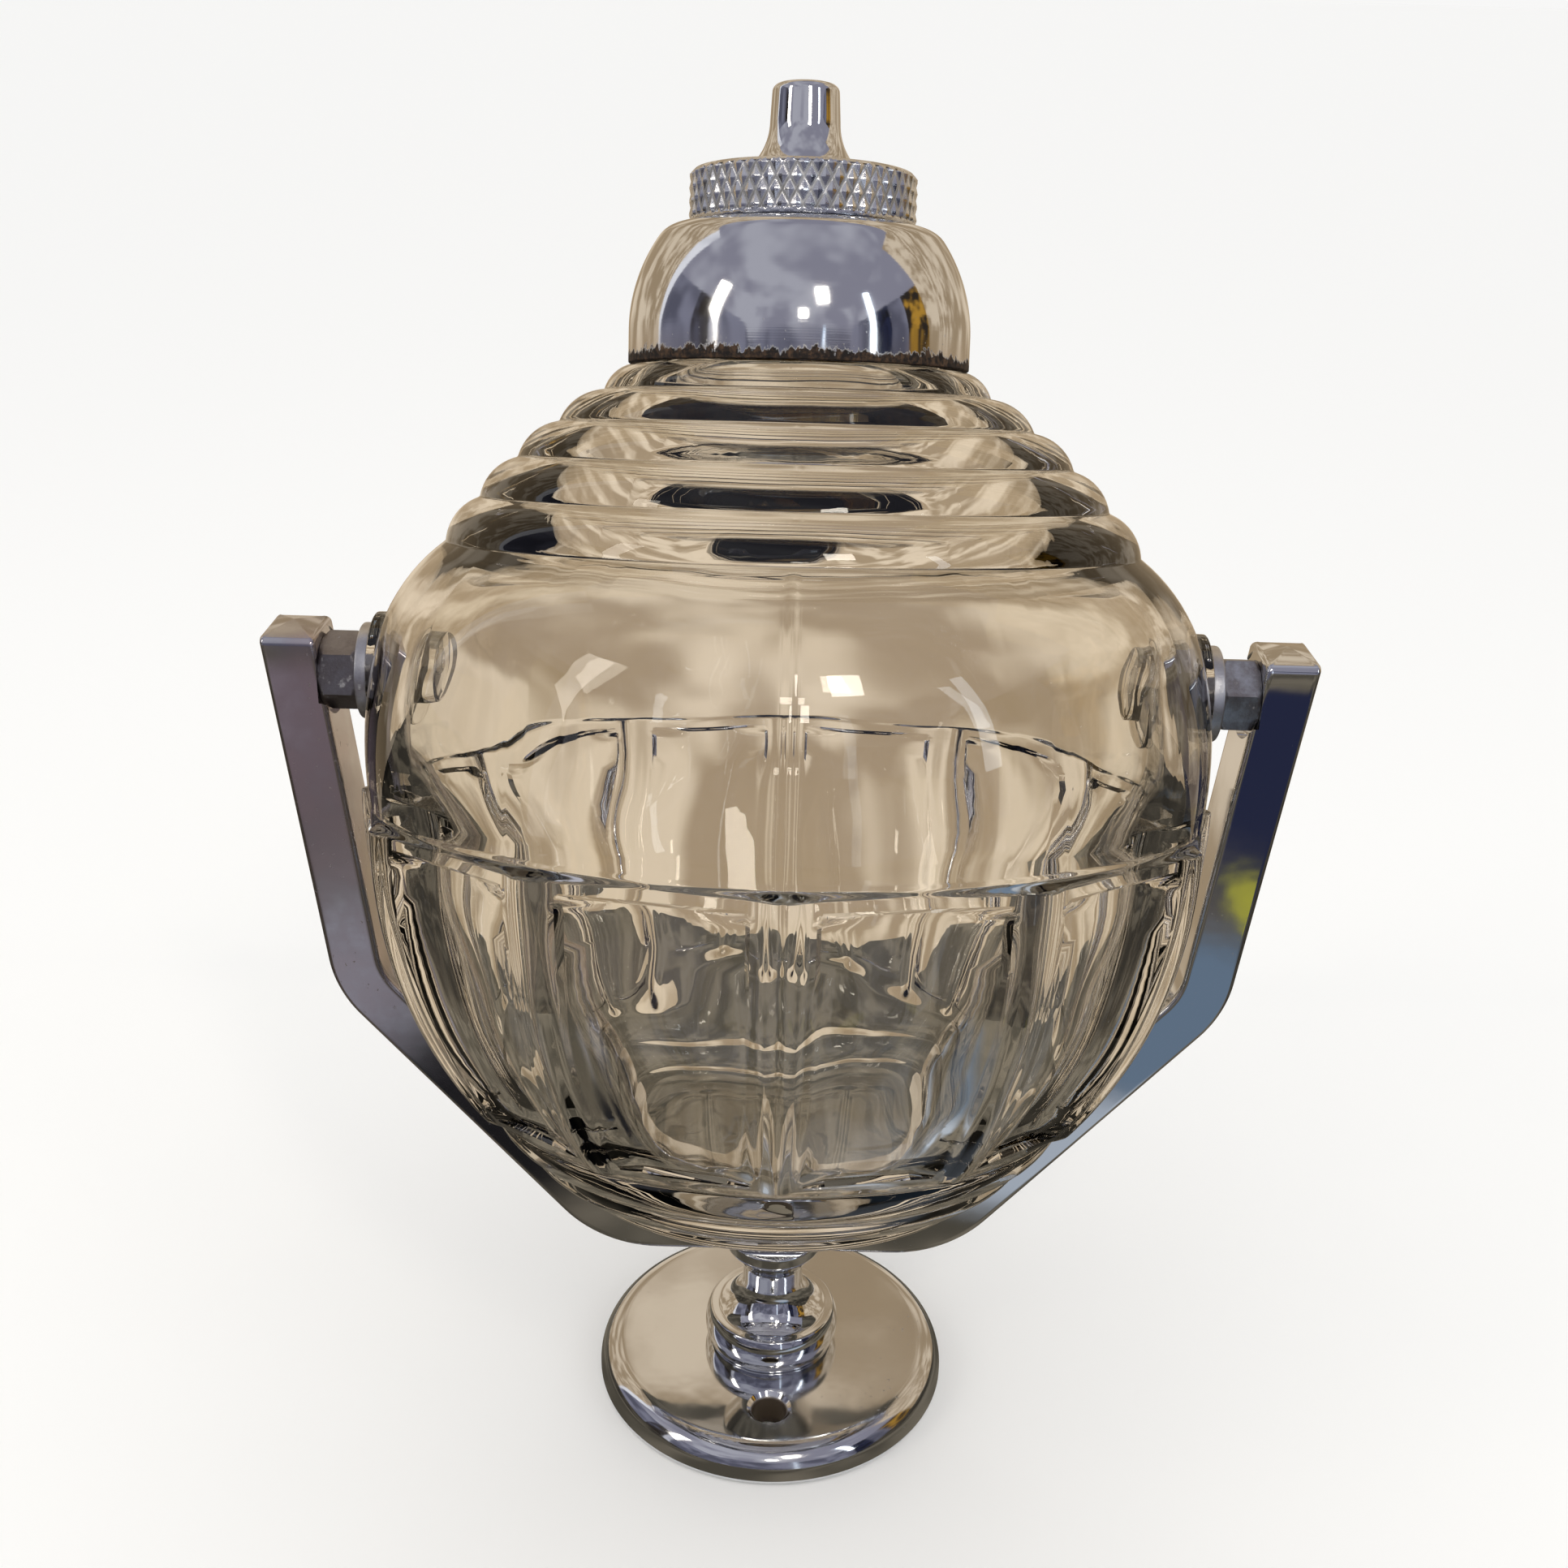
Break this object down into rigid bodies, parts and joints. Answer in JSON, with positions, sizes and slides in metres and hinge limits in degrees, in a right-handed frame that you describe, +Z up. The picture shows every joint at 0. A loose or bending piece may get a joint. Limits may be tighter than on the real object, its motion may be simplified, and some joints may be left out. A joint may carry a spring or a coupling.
{
  "type": "tilting soap dispenser",
  "caption": "Tip-and-pour liquid soap dispenser: moulded glass globe with domed screw cap and nozzle, pivoted in a chromed yoke on a turned stem and screw-down flange.",
  "frame": {"origin": "centre of the flange's underside, midway between the two screw holes", "axes": "+Z up along the stem, X along the pivot line with the yoke in the XZ plane, front of the object towards -Y"},
  "size_m": [0.1508, 0.1242, 0.2069],
  "materials": {
    "chrome": "polished chrome plate, lightly pitted",
    "knurled_chrome": "diamond-knurled chrome plate",
    "zinc": "dull zinc plate",
    "steel": "plain steel",
    "brass": "turned brass",
    "seal": "matt rubber",
    "glass": "clear pressed glass, slightly wavy"
  },
  "bodies": {
    "stand": {"base_flange": "chrome", "stem": "chrome", "stem_bolt": "steel", "stem_lock_washer": "steel", "yoke": "chrome", "pivot_screw_left": "steel", "pivot_screw_right": "steel", "pivot_nut_left": "zinc", "pivot_nut_right": "zinc", "pivot_washer_left": "zinc", "pivot_washer_right": "zinc"},
    "globe": {"glass_globe": "glass"},
    "cap_seal": {"cap_gasket": "seal"},
    "slip_ring": {"gasket_slip_ring": "brass"},
    "cap": {"cap_dome": "chrome", "cap_thread_ring": "brass", "cap_nipple": "brass"},
    "nozzle_seal": {"nozzle_gasket": "seal"},
    "nozzle": {"nozzle": "chrome"},
    "collar": {"knurled_collar": "knurled_chrome"}
  },
  "joints": [
    {"name": "globe_tilt", "type": "hinge", "parent": "stand", "child": "globe", "pos_m": [0, 0, 0.1261], "axis": [1, 0, 0], "continuous": true},
    {"name": "cap_lift", "type": "slide", "parent": "globe", "child": "cap_seal", "axis": [0, 0.2419, 0.9703], "range_m": [0, 0.004]},
    {"name": "cap_rise", "type": "slide", "parent": "cap_seal", "child": "slip_ring", "axis": [0, 0.2419, 0.9703], "range_m": [0, 0.0065]},
    {"name": "cap_turn", "type": "hinge", "parent": "slip_ring", "child": "cap", "pos_m": [0, 0, 0.1261], "axis": [0, 0.2419, 0.9703], "range_deg": [0, 720]},
    {"name": "nozzle_lift", "type": "slide", "parent": "cap", "child": "nozzle_seal", "axis": [0, 0.2419, 0.9703], "range_m": [0, 0.0025]},
    {"name": "nozzle_rise", "type": "slide", "parent": "nozzle_seal", "child": "nozzle", "axis": [0, 0.2419, 0.9703], "range_m": [0, 0.0039]},
    {"name": "collar_turn", "type": "hinge", "parent": "nozzle", "child": "collar", "pos_m": [0, 0, 0.1261], "axis": [0, 0.2419, 0.9703], "range_deg": [0, 1080]}
  ],
  "couplings": [
    {"joint": "cap_rise", "follows": "cap_turn", "m_per_rad": 0.0005093},
    {"joint": "nozzle_rise", "follows": "collar_turn", "m_per_rad": 0.00019894}
  ]
}
